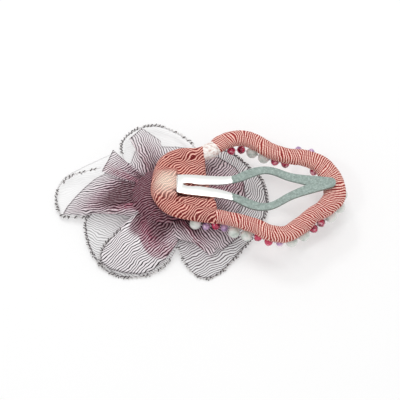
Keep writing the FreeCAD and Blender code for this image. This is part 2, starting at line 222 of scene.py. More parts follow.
# -------- meshes
def in_scene(name, data):
    """A new object of the scene with this mesh, camera or light."""
    obj = bpy.data.objects.new(name, data)
    bpy.context.scene.collection.objects.link(obj)
    return obj


def new_object(name, verts, faces, uvs=None, looks=None, smooth_shade=True):
    """A mesh object from vertices in metres, with a UV and a look for each of them."""
    mesh = bpy.data.meshes.new(name)
    mesh.from_pydata([tuple(v) for v in verts], [], faces)
    mesh.validate()
    if uvs:
        layer = mesh.uv_layers.new(name="UVMap")
        for loop in mesh.loops:
            layer.data[loop.index].uv = uvs[loop.vertex_index]
    if looks:
        attribute = mesh.color_attributes.new("look", "FLOAT_COLOR", "POINT")
        for index, look in enumerate(looks):
            attribute.data[index].color = look
    if smooth_shade:
        mesh.shade_smooth()
    return in_scene(name, mesh)


def finish_piece(obj, material, body, slot, *nodes):
    obj.data.materials.clear()
    for each in material if isinstance(material, (list, tuple)) else [material]:
        obj.data.materials.append(each)
    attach(obj, body)
    if nodes:
        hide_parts(*nodes)
    return obj


def ring_quads(a, b, count, turned=False):
    """Quads between two rings of count vertices, from a and from b, facing in or out."""
    after = [(k + 1) % count for k in range(count)]
    if turned:
        return [(a + k, b + k, b + m, a + m) for k, m in enumerate(after)]
    return [(a + k, a + m, b + m, b + k) for k, m in enumerate(after)]


def tube(points, radius, sides):
    """Vertices and faces of a round tube along points, with its ends closed."""
    verts, faces = [], []
    last = len(points) - 1
    side = None
    for index, point in enumerate(points):
        way = (points[min(index + 1, last)] - points[max(index - 1, 0)]).normalized()
        if side is None:
            side = way.orthogonal().normalized()
        side = (side - way * side.dot(way)).normalized()
        other = way.cross(side)
        for k in range(sides):
            angle = math.tau * k / sides
            verts.append(point + (side * math.cos(angle) + other * math.sin(angle)) * radius)
    for index in range(last):
        faces += ring_quads(index * sides, (index + 1) * sides, sides)
    faces.append(tuple(range(sides))[::-1])
    faces.append(tuple(last * sides + k for k in range(sides)))
    return verts, faces


def joined(parts):
    """Several (vertices, faces) lists as one."""
    verts, faces = [], []
    for more_verts, more_faces in parts:
        start = len(verts)
        verts.extend(more_verts)
        faces.extend(tuple(start + k for k in face) for face in more_faces)
    return verts, faces


def islands(node):
    """(centre, radius) of each loose solid of a CAD node, in metres."""
    mesh = bmesh.new()
    mesh.from_mesh(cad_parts[node].data)
    bmesh.ops.remove_doubles(mesh, verts=mesh.verts, dist=1e-6)
    left = set(mesh.verts)
    found = []
    while left:
        stack = [left.pop()]
        group = list(stack)
        while stack:
            for edge in stack.pop().link_edges:
                for vert in edge.verts:
                    if vert in left:
                        left.remove(vert)
                        stack.append(vert)
                        group.append(vert)
        low = Vector([min(v.co[k] for v in group) for k in range(3)])
        high = Vector([max(v.co[k] for v in group) for k in range(3)])
        found.append(((low + high) / 2, (high - low).x / 2))
    mesh.free()
    return sorted(found, key=lambda item: tuple(item[0]))


# -------- node-tree helpers
class Nodes:
    """A material being built: short calls that make nodes and link them."""

    def __init__(self, name):
        self.material = bpy.data.materials.new(name)
        self.material.use_nodes = True
        self.tree = self.material.node_tree
        self.tree.nodes.clear()
        self.out = self.add("ShaderNodeOutputMaterial")
        self.shader = self.add("ShaderNodeBsdfPrincipled")
        self.link(self.shader.outputs["BSDF"], self.out.inputs["Surface"])

    def add(self, kind, **values):
        node = self.tree.nodes.new(kind)
        for key, value in values.items():
            setattr(node, key, value)
        return node

    def link(self, source, target):
        self.tree.links.new(source, target)

    def feed(self, socket, value):
        """Sets a socket to a number or colour, or links another socket into it."""
        if isinstance(value, bpy.types.NodeSocket):
            self.link(value, socket)
        else:
            socket.default_value = value

    def feed_all(self, node, sockets):
        for key, value in sockets.items():
            self.feed(node.inputs[key.replace("_", " ")], value)

    def set(self, **values):
        self.feed_all(self.shader, values)

    def fed(self, kind, output, settings, **sockets):
        """An output of a new node whose sockets are fed by their names."""
        node = self.add(kind, **settings)
        self.feed_all(node, sockets)
        return node.outputs[output]

    def millimetres(self):
        return self.mapping(self.place(), (1000, 1000, 1000))

    def uv(self):
        return self.add("ShaderNodeTexCoord").outputs["UV"]

    def place(self):
        return self.add("ShaderNodeTexCoord").outputs["Object"]

    def mapping(self, vector, scale=(1, 1, 1), rotation=(0, 0, 0)):
        return self.fed("ShaderNodeMapping", "Vector", {},
                        Vector=vector, Scale=scale, Rotation=rotation)

    def noise(self, vector, scale, detail=2.0, roughness=0.5, colour=False):
        return self.fed("ShaderNodeTexNoise", "Color" if colour else "Fac", {},
                        Vector=vector, Scale=scale, Detail=detail, Roughness=roughness)

    def wave(self, vector, scale, distortion, detail, detail_scale, direction="X"):
        return self.fed("ShaderNodeTexWave", "Fac", {"bands_direction": direction},
                        Vector=vector, Scale=scale, Distortion=distortion, Detail=detail,
                        Detail_Scale=detail_scale)

    def moire(self, measure, pitch, wander, wander_scale):
        """Wavy moire ribs of a pitch in millimetres, pushed about by slow noise."""
        drift = self.noise(measure, wander_scale, 2.0, 0.5, colour=True)
        push = self.add("ShaderNodeVectorMath", operation="MULTIPLY_ADD")
        self.link(drift, push.inputs[0])
        push.inputs[1].default_value = (wander, wander, wander)
        self.link(measure, push.inputs[2])
        return self.wave(push.outputs[0], math.tau / (20 * pitch), 0.7, 2.0, 0.6)

    def ramp(self, value, *stops):
        """Greys or colours between (position, value) stops."""
        node = self.add("ShaderNodeValToRGB")
        self.link(value, node.inputs["Fac"])
        ramp = node.color_ramp
        while len(ramp.elements) < len(stops):
            ramp.elements.new(0.5)
        for element, (position, colour) in zip(ramp.elements, stops):
            element.position = position
            grey = (colour, colour, colour, 1) if isinstance(colour, (int, float)) else colour
            element.color = tuple(grey) if len(grey) == 4 else (*grey, 1)
        return node.outputs["Color"]

    def math(self, operation, a, b=0.0, c=0.0):
        node = self.add("ShaderNodeMath", operation=operation)
        for socket, value in zip(node.inputs, (a, b, c)):
            self.feed(socket, value)
        return node.outputs[0]

    def mix(self, factor, a, b):
        node = self.add("ShaderNodeMix", data_type="RGBA")
        self.feed(node.inputs["Factor"], factor)
        for socket, value in zip((node.inputs[6], node.inputs[7]), (a, b)):
            self.feed(socket, value if isinstance(value, bpy.types.NodeSocket) else rgba(value))
        return node.outputs[2]

    def bump(self, height, strength, distance):
        self.set(Normal=self.fed("ShaderNodeBump", "Normal", {},
                                 Height=height, Strength=strength, Distance=distance))

    def attribute(self, name):
        node = self.add("ShaderNodeAttribute", attribute_name=name)
        parts = self.add("ShaderNodeSeparateColor")
        self.link(node.outputs["Color"], parts.inputs["Color"])
        return [parts.outputs[k] for k in range(3)]


def rgba(colour):
    return (*colour, 1.0) if len(colour) == 3 else tuple(colour)


# -------- materials
def coral_ribbon(name, from_uv):
    """Woven coral ribbon: wavy moire ribs, a fine cross thread and pale flecks; on the cover, a painted
    highlight on the cap and a painted shadow along the tongue.

    The band's ribbon is measured along its own length; the cover's, in plan."""
    m = Nodes(name)
    if from_uv:
        measure = m.mapping(m.uv())
    else:
        measure = m.mapping(m.place(), (1000, 1000, 1000), (0, 0, 0.9))
    ribs = m.moire(measure, RIB_PITCH["band" if from_uv else "cover"], 5.0, 0.13)
    cross = m.wave(measure, 0.42, 2.5, 2.0, 0.5, "Y")
    fleck = m.noise(measure, 0.9, 3.0, 0.65)
    patch = m.noise(measure, 0.09, 2.0, 0.5)
    if from_uv:
        base = m.ramp(patch, (0.30, (0.58, 0.085, 0.065)), (0.5, (0.70, 0.14, 0.10)),
                      (0.70, (0.86, 0.30, 0.21)))
        deep, bright = (0.24, 0.012, 0.014), (1.0, 0.72, 0.63)
    else:
        base = m.ramp(patch, (0.34, (0.24, 0.014, 0.014)), (0.5, (0.42, 0.04, 0.03)),
                      (0.68, (0.60, 0.10, 0.055)))
        deep, bright = (0.14, 0.004, 0.005), (1.0, 0.58, 0.48)
    dark = m.mix(m.ramp(ribs, (0.24, 1.0), (0.46, 0.0)), base, deep)
    light = m.mix(m.ramp(ribs, (0.62, 0.0), (0.80, 1.0)), dark, bright)
    if not from_uv:
        # Painted highlight: pale cream painted on the cap where light falls over the tongue's root.
        light = m.mix(m.math("MULTIPLY", painted_cap_highlight(m), 0.62), light, (1.0, 0.90, 0.74))
        # Painted shadow: near-black painted on the cover along the tongue's lower side.
        light = m.mix(painted_tongue_shadow(m), light, (0.02, 0.002, 0.002))
    threads = m.mix(m.ramp(fleck, (0.56, 0.0), (0.68, 0.40)), light, bright)
    shade = m.mix(m.ramp(cross, (0.0, 0.40), (0.4, 0.0)), threads, (0.30, 0.04, 0.04))
    m.set(Base_Color=shade, Roughness=0.6, Specular_IOR_Level=0.2, Sheen_Weight=0.05,
          Sheen_Roughness=0.4)
    height = m.math("MULTIPLY_ADD", ribs, 0.8, m.math("MULTIPLY", cross, 0.35))
    m.bump(m.math("MULTIPLY_ADD", fleck, 0.5, height), 0.5, 0.0002)
    return m.material


def painted_cap_highlight(m):
    """Painted highlight: the cloth stretched over the tongue's root, painted pale cream where light falls
    on the cap.
    """
    highlight_gap = m.add("ShaderNodeVectorMath", operation="DISTANCE")
    m.link(m.place(), highlight_gap.inputs[0])
    highlight_gap.inputs[1].default_value = at(*CAP_HIGHLIGHT_PLACE)
    ragged = m.math("MULTIPLY_ADD", m.noise(m.place(), 400.0, 2.0, 0.6), 0.004, highlight_gap.outputs["Value"])
    return m.ramp(m.math("MULTIPLY", ragged, 100.0), (0.42, 1.0), (0.95, 0.0))


def painted_tongue_shadow(m):
    """Painted shadow: a strip of the cover's cloth along the lower side of the tongue, painted near-black
    where the tongue's shadow falls.
    """
    start, end = at(*TONGUE_SHADOW_START), at(*TONGUE_SHADOW_END)
    parts = m.add("ShaderNodeSeparateXYZ")
    m.link(m.place(), parts.inputs[0])
    along = m.math("SUBTRACT", parts.outputs[0], start.x)
    slope = (end.y - start.y) / (end.x - start.x)
    aside = m.math("SUBTRACT", parts.outputs[1], m.math("MULTIPLY_ADD", along, slope, start.y))
    near = m.ramp(m.math("MULTIPLY_ADD", aside, 500.0, 0.5),
                  (0.05, 0.0), (0.35, 1.0), (0.75, 1.0), (0.95, 0.0))
    share = m.math("DIVIDE", along, end.x - start.x)
    run = m.ramp(share, (0.0, 0.0), (0.12, 0.95), (0.9, 0.8), (1.0, 0.0))
    return m.math("MULTIPLY", near, run)


def cream_tape():
    m = Nodes("cream_tape")
    measure = m.mapping(m.uv())
    weave = m.wave(measure, 0.36, 0.5, 1.0, 1.0)
    cross = m.wave(measure, 0.36, 0.5, 1.0, 1.0, "Y")
    fray = m.noise(measure, 0.8, 3.0, 0.6)
    colour = m.ramp(fray, (0.36, (0.62, 0.42, 0.38)), (0.48, (0.86, 0.78, 0.73)),
                    (0.62, (0.97, 0.95, 0.92)))
    m.set(Base_Color=colour, Roughness=0.5, Sheen_Weight=0.1)
    m.bump(m.math("MULTIPLY_ADD", weave, 0.6, m.math("MULTIPLY", cross, 0.5)), 0.5, 0.00015)
    return m.material


def organza(name, colours, solid, thread, turn):
    """Sheer shot organza: dark moire lines on a ground that thins and pales to its rim.

    solid is how much of the ground shows at the root, half way and at the rim, and thread how
    much the dark lines add at the root and at the rim."""
    ground, line, light, accent = colours
    m = Nodes(name)
    depth, accents, pale = m.attribute("look")
    measure = m.mapping(m.uv(), (1, 1, 1), (0, 0, math.radians(turn)))
    lines = m.moire(measure, MOIRE_PITCH, 4.6, 0.12)
    grain = m.noise(measure, 0.9, 3.0, 0.7)
    tone = m.ramp(depth, (0.34, ground[0]), (0.64, ground[1]), (1.0, ground[2]))
    tinted = m.mix(accents, tone, accent)
    faded = m.mix(pale, tinted, (1.0, 0.98, 1.0))
    drawn = m.ramp(lines, (0.16, 1.0), (0.42, 0.0))
    dark = m.mix(drawn, faded, line)
    sparkle = m.math("MULTIPLY", m.ramp(lines, (0.60, 0.0), (0.82, 1.0)),
                     m.ramp(grain, (0.36, 0.2), (0.60, 1.0)))
    sparkle = m.math("MULTIPLY", sparkle, m.ramp(depth, (0.34, 0.30), (0.66, 1.0)))
    shade = m.mix(sparkle, dark, light)
    hem = m.ramp(depth, (0.972, 0.0), (0.982, 1.0))
    shade = m.mix(m.math("MULTIPLY", hem, 0.6), shade, line)
    cover = m.ramp(depth, (0.0, solid[0]), (0.55, solid[1]), (1.0, solid[2]))
    threads = m.math("MULTIPLY", drawn, m.ramp(depth, (0.0, thread[0]), (1.0, thread[1])))
    threads = m.math("MULTIPLY_ADD", hem, 0.30, threads)
    alpha = m.math("MINIMUM", m.math("ADD", cover, threads), 1.0)
    m.set(Base_Color=shade, Roughness=0.5, Specular_IOR_Level=0.15, Alpha=alpha)
    m.bump(lines, 0.3, 0.00018)
    return m.material


def edging(name, dark, light):
    m = Nodes(name)
    measure = m.millimetres()
    twist = m.wave(measure, 2.6, 1.5, 2.0, 1.0, "DIAGONAL")
    colour = m.mix(twist, dark, light)
    m.set(Base_Color=colour, Roughness=0.42, Sheen_Weight=0.3, Sheen_Roughness=0.3)
    m.bump(twist, 0.5, 0.00008)
    return m.material


def satin_steel(name, tint, roughness):
    m = Nodes(name)
    measure = m.mapping(m.place(), (60, 900, 900))
    scratch = m.noise(measure, 1.4, 3.0, 0.6)
    stain = m.noise(m.place(), 190.0, 3.0, 0.6)
    colour = m.mix(m.ramp(stain, (0.35, 0.0), (0.7, 0.5)), tint, tuple(c * 0.72 for c in tint))
    rough = m.math("MULTIPLY_ADD", scratch, 0.12, roughness)
    m.set(Base_Color=colour, Metallic=1.0, Roughness=rough)
    m.bump(scratch, 0.12, 0.00004)
    return m.material


def tongue_steel():
    """One bare steel strip, bright at the hinge; the arms and the tip are painted a matte grey-green as
    painted shade for their darker reflection.
    """
    m = Nodes("tongue_steel")
    parts = m.add("ShaderNodeSeparateXYZ")
    m.link(m.place(), parts.inputs[0])
    start = at(DULL_ARMS_START, 0, 0).x
    ragged = m.math("MULTIPLY_ADD", m.noise(m.place(), 900.0, 2.0, 0.6), 0.0012, start - 0.0006)
    dulled = m.math("MULTIPLY", m.math("SUBTRACT", parts.outputs[0], ragged), 2500.0)
    dulled = m.ramp(dulled, (0.0, 0.0), (1.0, 1.0))
    scratch = m.noise(m.mapping(m.place(), (60, 900, 900)), 1.4, 3.0, 0.6)
    speck = m.noise(m.millimetres(), 1.1, 3.0, 0.7)
    dull_tone = m.ramp(speck, (0.34, (0.19, 0.235, 0.215)), (0.52, (0.26, 0.33, 0.30)),
                  (0.70, (0.38, 0.46, 0.43)))
    # Painted shade: the arms and tip take a dark grey-green in place of the steel's reflection; the strip
    # is one metal.
    m.set(Base_Color=m.mix(dulled, (0.93, 0.94, 0.92), dull_tone),
          Metallic=m.math("MULTIPLY_ADD", dulled, -0.75, 1.0),
          Roughness=m.math("MULTIPLY_ADD", dulled, 0.18, m.math("MULTIPLY_ADD", scratch, 0.1, 0.25)))
    m.bump(speck, 0.25, 0.00008)
    return m.material


def pearl():
    """Imitation pearl: cloudy grey-green nacre under a clear gloss."""
    m = Nodes("pearl")
    cloud = m.noise(m.place(), 420.0, 2.0, 0.5)
    body = m.ramp(cloud, (0.3, (0.46, 0.53, 0.48)), (0.5, (0.74, 0.78, 0.73)),
                  (0.75, (0.88, 0.81, 0.80)))
    m.set(Base_Color=body, Roughness=0.25, Coat_Weight=0.6, Coat_Roughness=0.06,
          Specular_IOR_Level=0.6)
    return m.material


def glass_bead(name, deep, bright, glint_tint):
    """Faceted glass with a coat: deep colour, brighter streaks and painted cool glints of light on some
    facets.
    """
    m = Nodes(name)
    streak = m.noise(m.place(), 560.0, 2.0, 0.5)
    glint = m.noise(m.place(), 700.0, 1.0, 0.5)
    colour = m.ramp(streak, (0.38, deep), (0.62, bright))
    # Painted highlight: some facets painted pale as glints of light.
    colour = m.mix(m.ramp(glint, (0.60, 0.0), (0.66, 0.8)), colour, glint_tint)
    m.set(Base_Color=colour, Roughness=0.08, Coat_Weight=1.0, Coat_Roughness=0.02,
          Specular_IOR_Level=0.5)
    return m.material


def floor_material():
    m = Nodes("pale_floor")
    grain = m.noise(m.place(), 6.0, 2.0, 0.5)
    m.set(Base_Color=m.ramp(grain, (0.0, 0.60), (1.0, 0.62)), Roughness=0.9, Specular_IOR_Level=0.1,
          Emission_Color=(1.0, 1.0, 1.0, 1.0), Emission_Strength=FLOOR_GLOW)
    return m.material


# -------- the ribbon band
def loop_stations(count):
    """Even stations round the loop: place, outward direction, half width, distance."""
    places, total = smooth(LOOP, count, closed=True)
    stations = []
    for index, (x, y, half) in enumerate(places):
        before, after = places[index - 1], places[(index + 1) % count]
        way = Vector((after[0] - before[0], after[1] - before[1])).normalized()
        stations.append((Vector((x, y)), Vector((-way.y, way.x)), half, total * index / count))
    return stations


def band_surface(stations, name, material, body_slot, node, swell, laid):
    """A padded, rounded band along stations, with turns of ribbon laid over one another."""
    around = 40
    verts, uvs, faces = [], [], []
    for place, out, half, distance in stations:
        ends = min((distance - stations[0][3]), stations[-1][3] - distance)
        tuck = 1 - 0.16 * (1 - step_up(0.0, 2.6, ends))
        for k in range(around):
            angle = math.tau * k / around
            across, up = math.cos(angle), math.sin(angle)
            across = math.copysign(abs(across) ** 0.80, across)
            up = math.copysign(abs(up) ** 0.86, up)
            turn = (distance / WRAP_PITCH + k / around) % 1.0
            lift = WRAP_STEP * turn * step_up(1.0, 0.93, turn) if laid else 0.0
            pucker = 0.12 * noise.noise(Vector((distance * 0.55, across * 2.2, up * 2.2)))
            wide = (half - 0.12 + swell) * tuck + lift * 0.6 + pucker
            thick = (BAND_HALF_THICK - 0.15 + swell) * tuck + lift * 0.7 + pucker
            side = place + out * across * wide
            verts.append(at(side.x, side.y, BAND_MIDDLE + up * thick))
            uvs.append((distance + 1.4 * across, k / around * 18.0))
    rows = len(stations)
    for row in range(rows - 1):
        faces += ring_quads(row * around, (row + 1) * around, around)
    faces.append(tuple(range(around))[::-1])
    faces.append(tuple((rows - 1) * around + k for k in range(around)))
    obj = new_object(name, verts, [f[::-1] for f in faces], uvs)
    return finish_piece(obj, material, "clip", body_slot, node)


def cover_edge_x(y):
    """Where the hinge cover's free edge is at a given distance across."""
    for (xa, ya), (xb, yb) in zip(COVER_EDGE, COVER_EDGE[1:]):
        if yb <= y <= ya:
            return xa + (xb - xa) * (ya - y) / (ya - yb)
    return COVER_EDGE[0][0] if y > COVER_EDGE[0][1] else COVER_EDGE[-1][0]


def make_band():
    """The coral wrap and the pale tape; each end is tucked a little under what lies next to it."""
    stations = loop_stations(720)
    near = [s for s in stations if s[0].y > 5 and s[3] < NEAR_RUN]
    tape = [s for s in near if cover_edge_x(s[0].y) - TUCKED < s[0].x < TAPE_END]
    ribbon_start = TAPE_END - WRAP_TUCKED
    first = next(i for i, s in enumerate(stations) if s[0].x >= ribbon_start and s[3] < NEAR_RUN)
    last = max(i for i, s in enumerate(stations) if s[0].x > cover_edge_x(s[0].y) - LOWER_TUCKED)
    coral = coral_ribbon("coral_ribbon_band", True)
    wrap = band_surface(stations[first:last], "ribbon_band", coral, "coral_ribbon",
                        "ribbon_wrap", 0.0, True)
    band_surface(tape, "binding_tape_turns", cream_tape(), "cream_tape",
                 "binding_tape", 0.16, False)


# -------- the hinge cover
def tongue_tree():
    return BVHTree.FromObject(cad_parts["tongue_blade"], bpy.context.evaluated_depsgraph_get())


def room_under_tongue(tree, x, across):
    """Greatest height that leaves the cloth clear of the tongue lying over it."""
    start = at(x, TONGUE_Y + ARM_MIDDLE, 0)
    hit = tree.ray_cast(start, Vector((0, 0, 1)))[0]
    if hit is None:
        return CAP_TOP
    under = (hit.z - ORIGIN.z) / MM
    return under - TONGUE_CLEARANCE + 6 * step_up(6.2, 8.4, across)


def cover_height(x, y, loop_distance, half):
    """Upper surface of the cover: band rim, pad over the plate, raised cap over the root."""
    rim = BAND_HALF_THICK * math.sqrt(max(0.0, 1 - min(1.0, abs(loop_distance) / half) ** 2.4))
    ring = BAND_MIDDLE + rim
    pad = LOW_PAD_TOP + (PAD_TOP - LOW_PAD_TOP) * step_up(15.5, 12.5, x)
    across = abs(y - TONGUE_Y)
    cap_side = step_up(9.6, 5.0, across)
    cap_rise = step_up(-0.5, 3.6, x) * step_up(CAP_END + 0.5, CAP_END - 0.4, x)
    cap = PAD_TOP + (CAP_TOP - PAD_TOP) * cap_side * cap_rise
    pull = 0.22 * noise.noise(Vector((x * 0.35, y * 0.5, 3.0)))
    folds = 0.16 * math.sin(y * 1.9 + x * 0.5) * step_up(26.0, 10.0, x) * step_up(8.0, 4.0, across)
    inside = max(pad, cap)
    blend = step_up(-1.2, 1.8, inside - ring)
    return ring + (inside - ring) * blend + pull + folds * 0.5


def cover_outline(centre, rays, stations):
    """The cover's outer edge: the loop's outside, cut off at the cover's free edge."""
    border = [(s[0] + s[1] * (s[2] + 0.05)) for s in stations]
    outline = []
    for k in range(rays):
        angle = math.tau * k / rays
        way = Vector((math.cos(angle), math.sin(angle)))
        reach = ray_reach(centre, way, border)
        while centre.x + way.x * reach > cover_edge_x(centre.y + way.y * reach):
            reach -= 0.05
        outline.append(centre + way * reach)
    return outline


def cover_z(point, edge_distance, upper, stations, tree):
    """Height of the cover's skin, rounded off towards its outer edge."""
    round_off = math.sqrt(max(0.0, 1 - (1 - min(1.0, edge_distance / COVER_ROUNDING)) ** 2))
    if not upper:
        return BAND_MIDDLE - 0.4 - (BAND_HALF_THICK - 0.45) * round_off
    near, half = loop_gap(point, stations)
    top = cover_height(point.x, point.y, near, half)
    if point.x > CAP_END:
        top = min(top, room_under_tongue(tree, point.x, abs(point.y - TONGUE_Y)))
    return BAND_MIDDLE - 0.4 + (top - BAND_MIDDLE + 0.4) * round_off


def cover_faces(rays, rings):
    """Quads of the upper skin, the lower skin and the seam between them."""
    faces = []
    for r in range(rings):
        faces += ring_quads((r + 1) * rays, r * rays, rays)
    lower = (rings + 1) * rays
    for r in range(rings - 1):
        faces += ring_quads(lower + r * rays, lower + (r + 1) * rays, rays)
    return faces + ring_quads(lower + (rings - 1) * rays, rings * rays, rays)


def make_cover():
    """The soft cover of the hinge end, as one closed skin drawn out from its middle."""
    stations = loop_stations(360)
    tree = tongue_tree()
    centre = Vector(COVER_MIDDLE)
    rays, rings = 220, 46
    outline = cover_outline(centre, rays, stations)
    shares = [(1 - (1 - r / rings) ** 1.6) for r in range(rings + 1)]
    verts, uvs = [], []
    for upper in (True, False):
        for share in shares if upper else shares[:-1]:
            for corner in outline:
                point = centre.lerp(corner, share)
                z = cover_z(point, (corner - point).length, upper, stations, tree)
                verts.append(at(point.x, point.y, z))
                uvs.append((point.x, point.y))
    obj = new_object("hinge_cover_cloth", verts, cover_faces(rays, rings), uvs)
    weld(obj, 1e-5)
    finish_piece(obj, coral_ribbon("coral_ribbon_cover", False), "clip", "coral_ribbon",
                 "hinge_cover")


def ray_reach(centre, way, border):
    """How far a ray in plan goes from the centre to the last border it crosses."""
    best = 0.0
    for a, b in zip(border, border[1:] + border[:1]):
        side = b - a
        cross = way.x * side.y - way.y * side.x
        if abs(cross) < 1e-9:
            continue
        gap = a - centre
        t = (gap.x * side.y - gap.y * side.x) / cross
        u = (gap.x * way.y - gap.y * way.x) / cross
        if t > 0 and 0 <= u <= 1 and (best == 0.0 or t < best):
            best = t
    return best


def loop_gap(point, stations):
    """Distance from a place to the loop's centre line, and the band's half width there."""
    nearest = min(stations, key=lambda s: (s[0] - point).length_squared)
    return (nearest[0] - point).length, nearest[2]


def weld(obj, distance):
    mesh = bmesh.new()
    mesh.from_mesh(obj.data)
    bmesh.ops.remove_doubles(mesh, verts=mesh.verts, dist=distance)
    bmesh.ops.dissolve_degenerate(mesh, edges=mesh.edges, dist=distance / 10)
    mesh.to_mesh(obj.data)
    mesh.free()


# -------- petals
def petal_grid(edge, root_z, droop, gathers, seed, rows, beads):
    """Design-measure points of a gathered petal: rows from the flower's core to its rim."""
    first, last = edge[0].xy - FLOWER, edge[-1].xy - FLOWER
    start = math.atan2(first.y, first.x)
    sweep = (math.atan2(last.y, last.x) - start) % (math.tau)
    if sweep > math.pi * 1.2:
        sweep -= math.tau
    grid = []
    for r in range(rows + 1):
        v = r / rows
        row = []
        for c, tip in enumerate(edge):
            u = c / (len(edge) - 1)
            angle = start + sweep * u
            root = FLOWER + Vector((math.cos(angle), math.sin(angle))) * PETAL_ROOT_R
            flat = root.lerp(tip.xy, v)
            z = root_z + (tip.z - root_z) * v ** droop
            fold = math.sin(math.tau * gathers * u + seed) * math.exp(-v * 2.6)
            fold += 0.5 * math.sin(math.tau * gathers * 1.7 * u + seed * 2) * math.exp(-v * 4.0)
            ruffle = math.sin(math.tau * 1.6 * u + seed) * v * v
            waft = noise.noise(Vector((u * 2.5, v * 1.5, seed)))
            z += 0.7 * fold + 0.5 * ruffle * math.sin(math.pi * u) + 0.6 * waft * (v - v ** 4)
            z = min(z, pressed_height(flat, beads))
            row.append(Vector((flat.x, flat.y, max(z, FLOOR_Z + 0.5))))
        grid.append(row)
    return grid


def pressed_height(place, beads):
    """How high cloth can stand under the beads that press on it."""
    height = 8.0
    for centre, radius in beads:
        gap = (centre.xy - place).length
        if gap < radius + 4.0:
            under = centre.z - radius - 0.25 + 1.6 * step_up(radius * 0.6, radius + 4.0, gap)
            height = min(height, under)
    return height


def petal_object(name, grid, looks):
    verts, uvs, shades, faces = [], [], [], []
    columns = len(grid[0])
    for r, row in enumerate(grid):
        for c, point in enumerate(row):
            verts.append(at(*point))
            uvs.append((point.x, point.y))
            shades.append(looks(c / (columns - 1), r / (len(grid) - 1)))
    for r in range(len(grid) - 1):
        for c in range(columns - 1):
            a = r * columns + c
            faces.append((a, a + 1, a + columns + 1, a + columns))
    return new_object(name, verts, faces, uvs, shades)


def overlock(name, rim, seed):
    """An overlocked edge: a pale core with dark and pale threads looped unevenly round it."""
    line, length = smooth(rim, 90)
    turns = int(length / STITCH_PITCH)
    steps = turns * STITCH_STEPS
    path, _ = smooth(line, steps)
    groups = [tube([at(*p) for p in line], 0.10 * MM, 8)]
    marks = [0] * len(groups[0][1])
    random.seed(seed)
    for strand in range(2):
        points = []
        for k, p in enumerate(path):
            before, after = path[max(k - 1, 0)], path[min(k + 1, steps - 1)]
            way = (after - before).normalized()
            side = way.cross(Vector((0, 0, 1))).normalized()
            up = side.cross(way)
            uneven = noise.noise(Vector((k * 0.11, seed, strand * 7.0)))
            angle = math.tau * k / STITCH_STEPS + strand * math.pi + 3.4 * uneven
            reach = STITCH_REACH * (1 + 0.9 * noise.noise(Vector((k * 0.19, seed + 5, strand * 3.0))))
            offset = side * math.cos(angle) * reach + up * math.sin(angle) * reach * 0.6
            points.append(at(*(p + offset)))
        for start in range(0, steps - STITCH_STEPS, STITCH_STEPS):
            if random.random() > SKIPPED_STITCHES:
                stitch = points[start:start + STITCH_STEPS - 1]
                groups.append(tube(stitch, (0.20, 0.13)[strand] * MM, 5))
                marks += [strand + 1] * len(groups[-1][1])
    verts, faces = joined(groups)
    return new_object(name, verts, faces), marks


def finish_overlock(obj, marks, materials, *nodes):
    finish_piece(obj, materials, "clip", "edging_thread", *nodes)
    for polygon, mark in zip(obj.data.polygons, marks):
        polygon.material_index = mark


# Each sheer petal: turn of its moire, how solid its ground is at root, half way and rim,
# and how strong its dark threads are at root and rim.
SHEER_LOOKS = {
    "right": (20, (0.95, 0.65, 0.50), (0.05, 0.45)), "top": (70, (0.60, 0.04, 0.0), (0.10, 0.06)),
    "left": (80, (0.60, 0.04, 0.0), (0.10, 0.05)),
    "bottom_left": (120, (0.85, 0.24, 0.10), (0.10, 0.40)),
    "bottom_right": (60, (0.95, 0.62, 0.45), (0.05, 0.50)),
}
# Each folded petal: turn of its moire, how far its folds lean across it, where its accent,
# its paler part and its shaded part lie across it, and how solid it is half way and at its rim.
MAUVE_LOOKS = {
    "right": (30, 0.0, 0.5, None, None, 0.97, 0.9),
    "top": (-20, 0.0, 0.76, None, None, 0.72, 0.35),
    "top_left": (60, 0.0, 0.7, None, None, 0.85, 0.5),
    "left": (85, 0.0, 0.84, None, (0.0, 1.0), 0.93, 0.42),
    "bottom_left": (50, 0.7, 0.70, (0.06, 0.60), (0.76, 1.4), 0.95, 0.75),
    "bottom_right": (140, 0.0, 0.3, None, (0.0, 0.5), 0.96, 0.8),
}
# Colours of each cloth: ground at the root, half way and at the rim; dark line; bright line; accent.
SHEER_COLOURS = (((0.11, 0.03, 0.05), (0.62, 0.54, 0.58), (0.95, 0.94, 0.95)),
                 (0.05, 0.03, 0.04), (0.98, 0.97, 0.98), (0.40, 0.10, 0.20))
MAUVE_COLOURS = (((0.115, 0.020, 0.038), (0.42, 0.24, 0.30), (0.84, 0.74, 0.79)),
                 (0.012, 0.003, 0.006), (0.97, 0.86, 0.90), (0.40, 0.075, 0.14))


def bell(value, middle, width):
    return math.exp(-((value - middle) / width) ** 2)


def sheer_look(_, v):
    """Vertex look of a sheer petal: depth, then a trace of the accent by the root."""
    return (v, 0.25 * (1 - v) ** 2, 0.0, 1.0)


def inside(value, span, blend):
    """1 inside a span and 0 outside it, blending over its ends; 0 when there is no span."""
    if not span:
        return 0.0
    return step_up(span[0] - blend, span[0], value) * step_up(span[1] + blend, span[1], value)


def fold_look(lean, accent, pale, shaded):
    """Vertex look of a folded petal: depth, magenta accent along one fold, paler panel."""
    def look(u, v):
        across = u - lean * (v - 0.7)
        faded = inside(across, pale, 0.03) * step_up(0.46, 0.56, v)
        shade = inside(across, shaded, 0.06) * step_up(0.85, 0.50, v)
        glow = 0.75 * bell(across, accent, 0.10) * step_up(0.10, 0.5, v)
        return (v * (1 - 0.36 * shade), glow, faded, 1.0)
    return look


def sew_petal(kind, name, grid, looks, material):
    obj = petal_object(kind + "_cloth_" + name, grid, looks)
    finish_piece(obj, material, "clip", kind + "_organza", kind + "_petal_" + name)


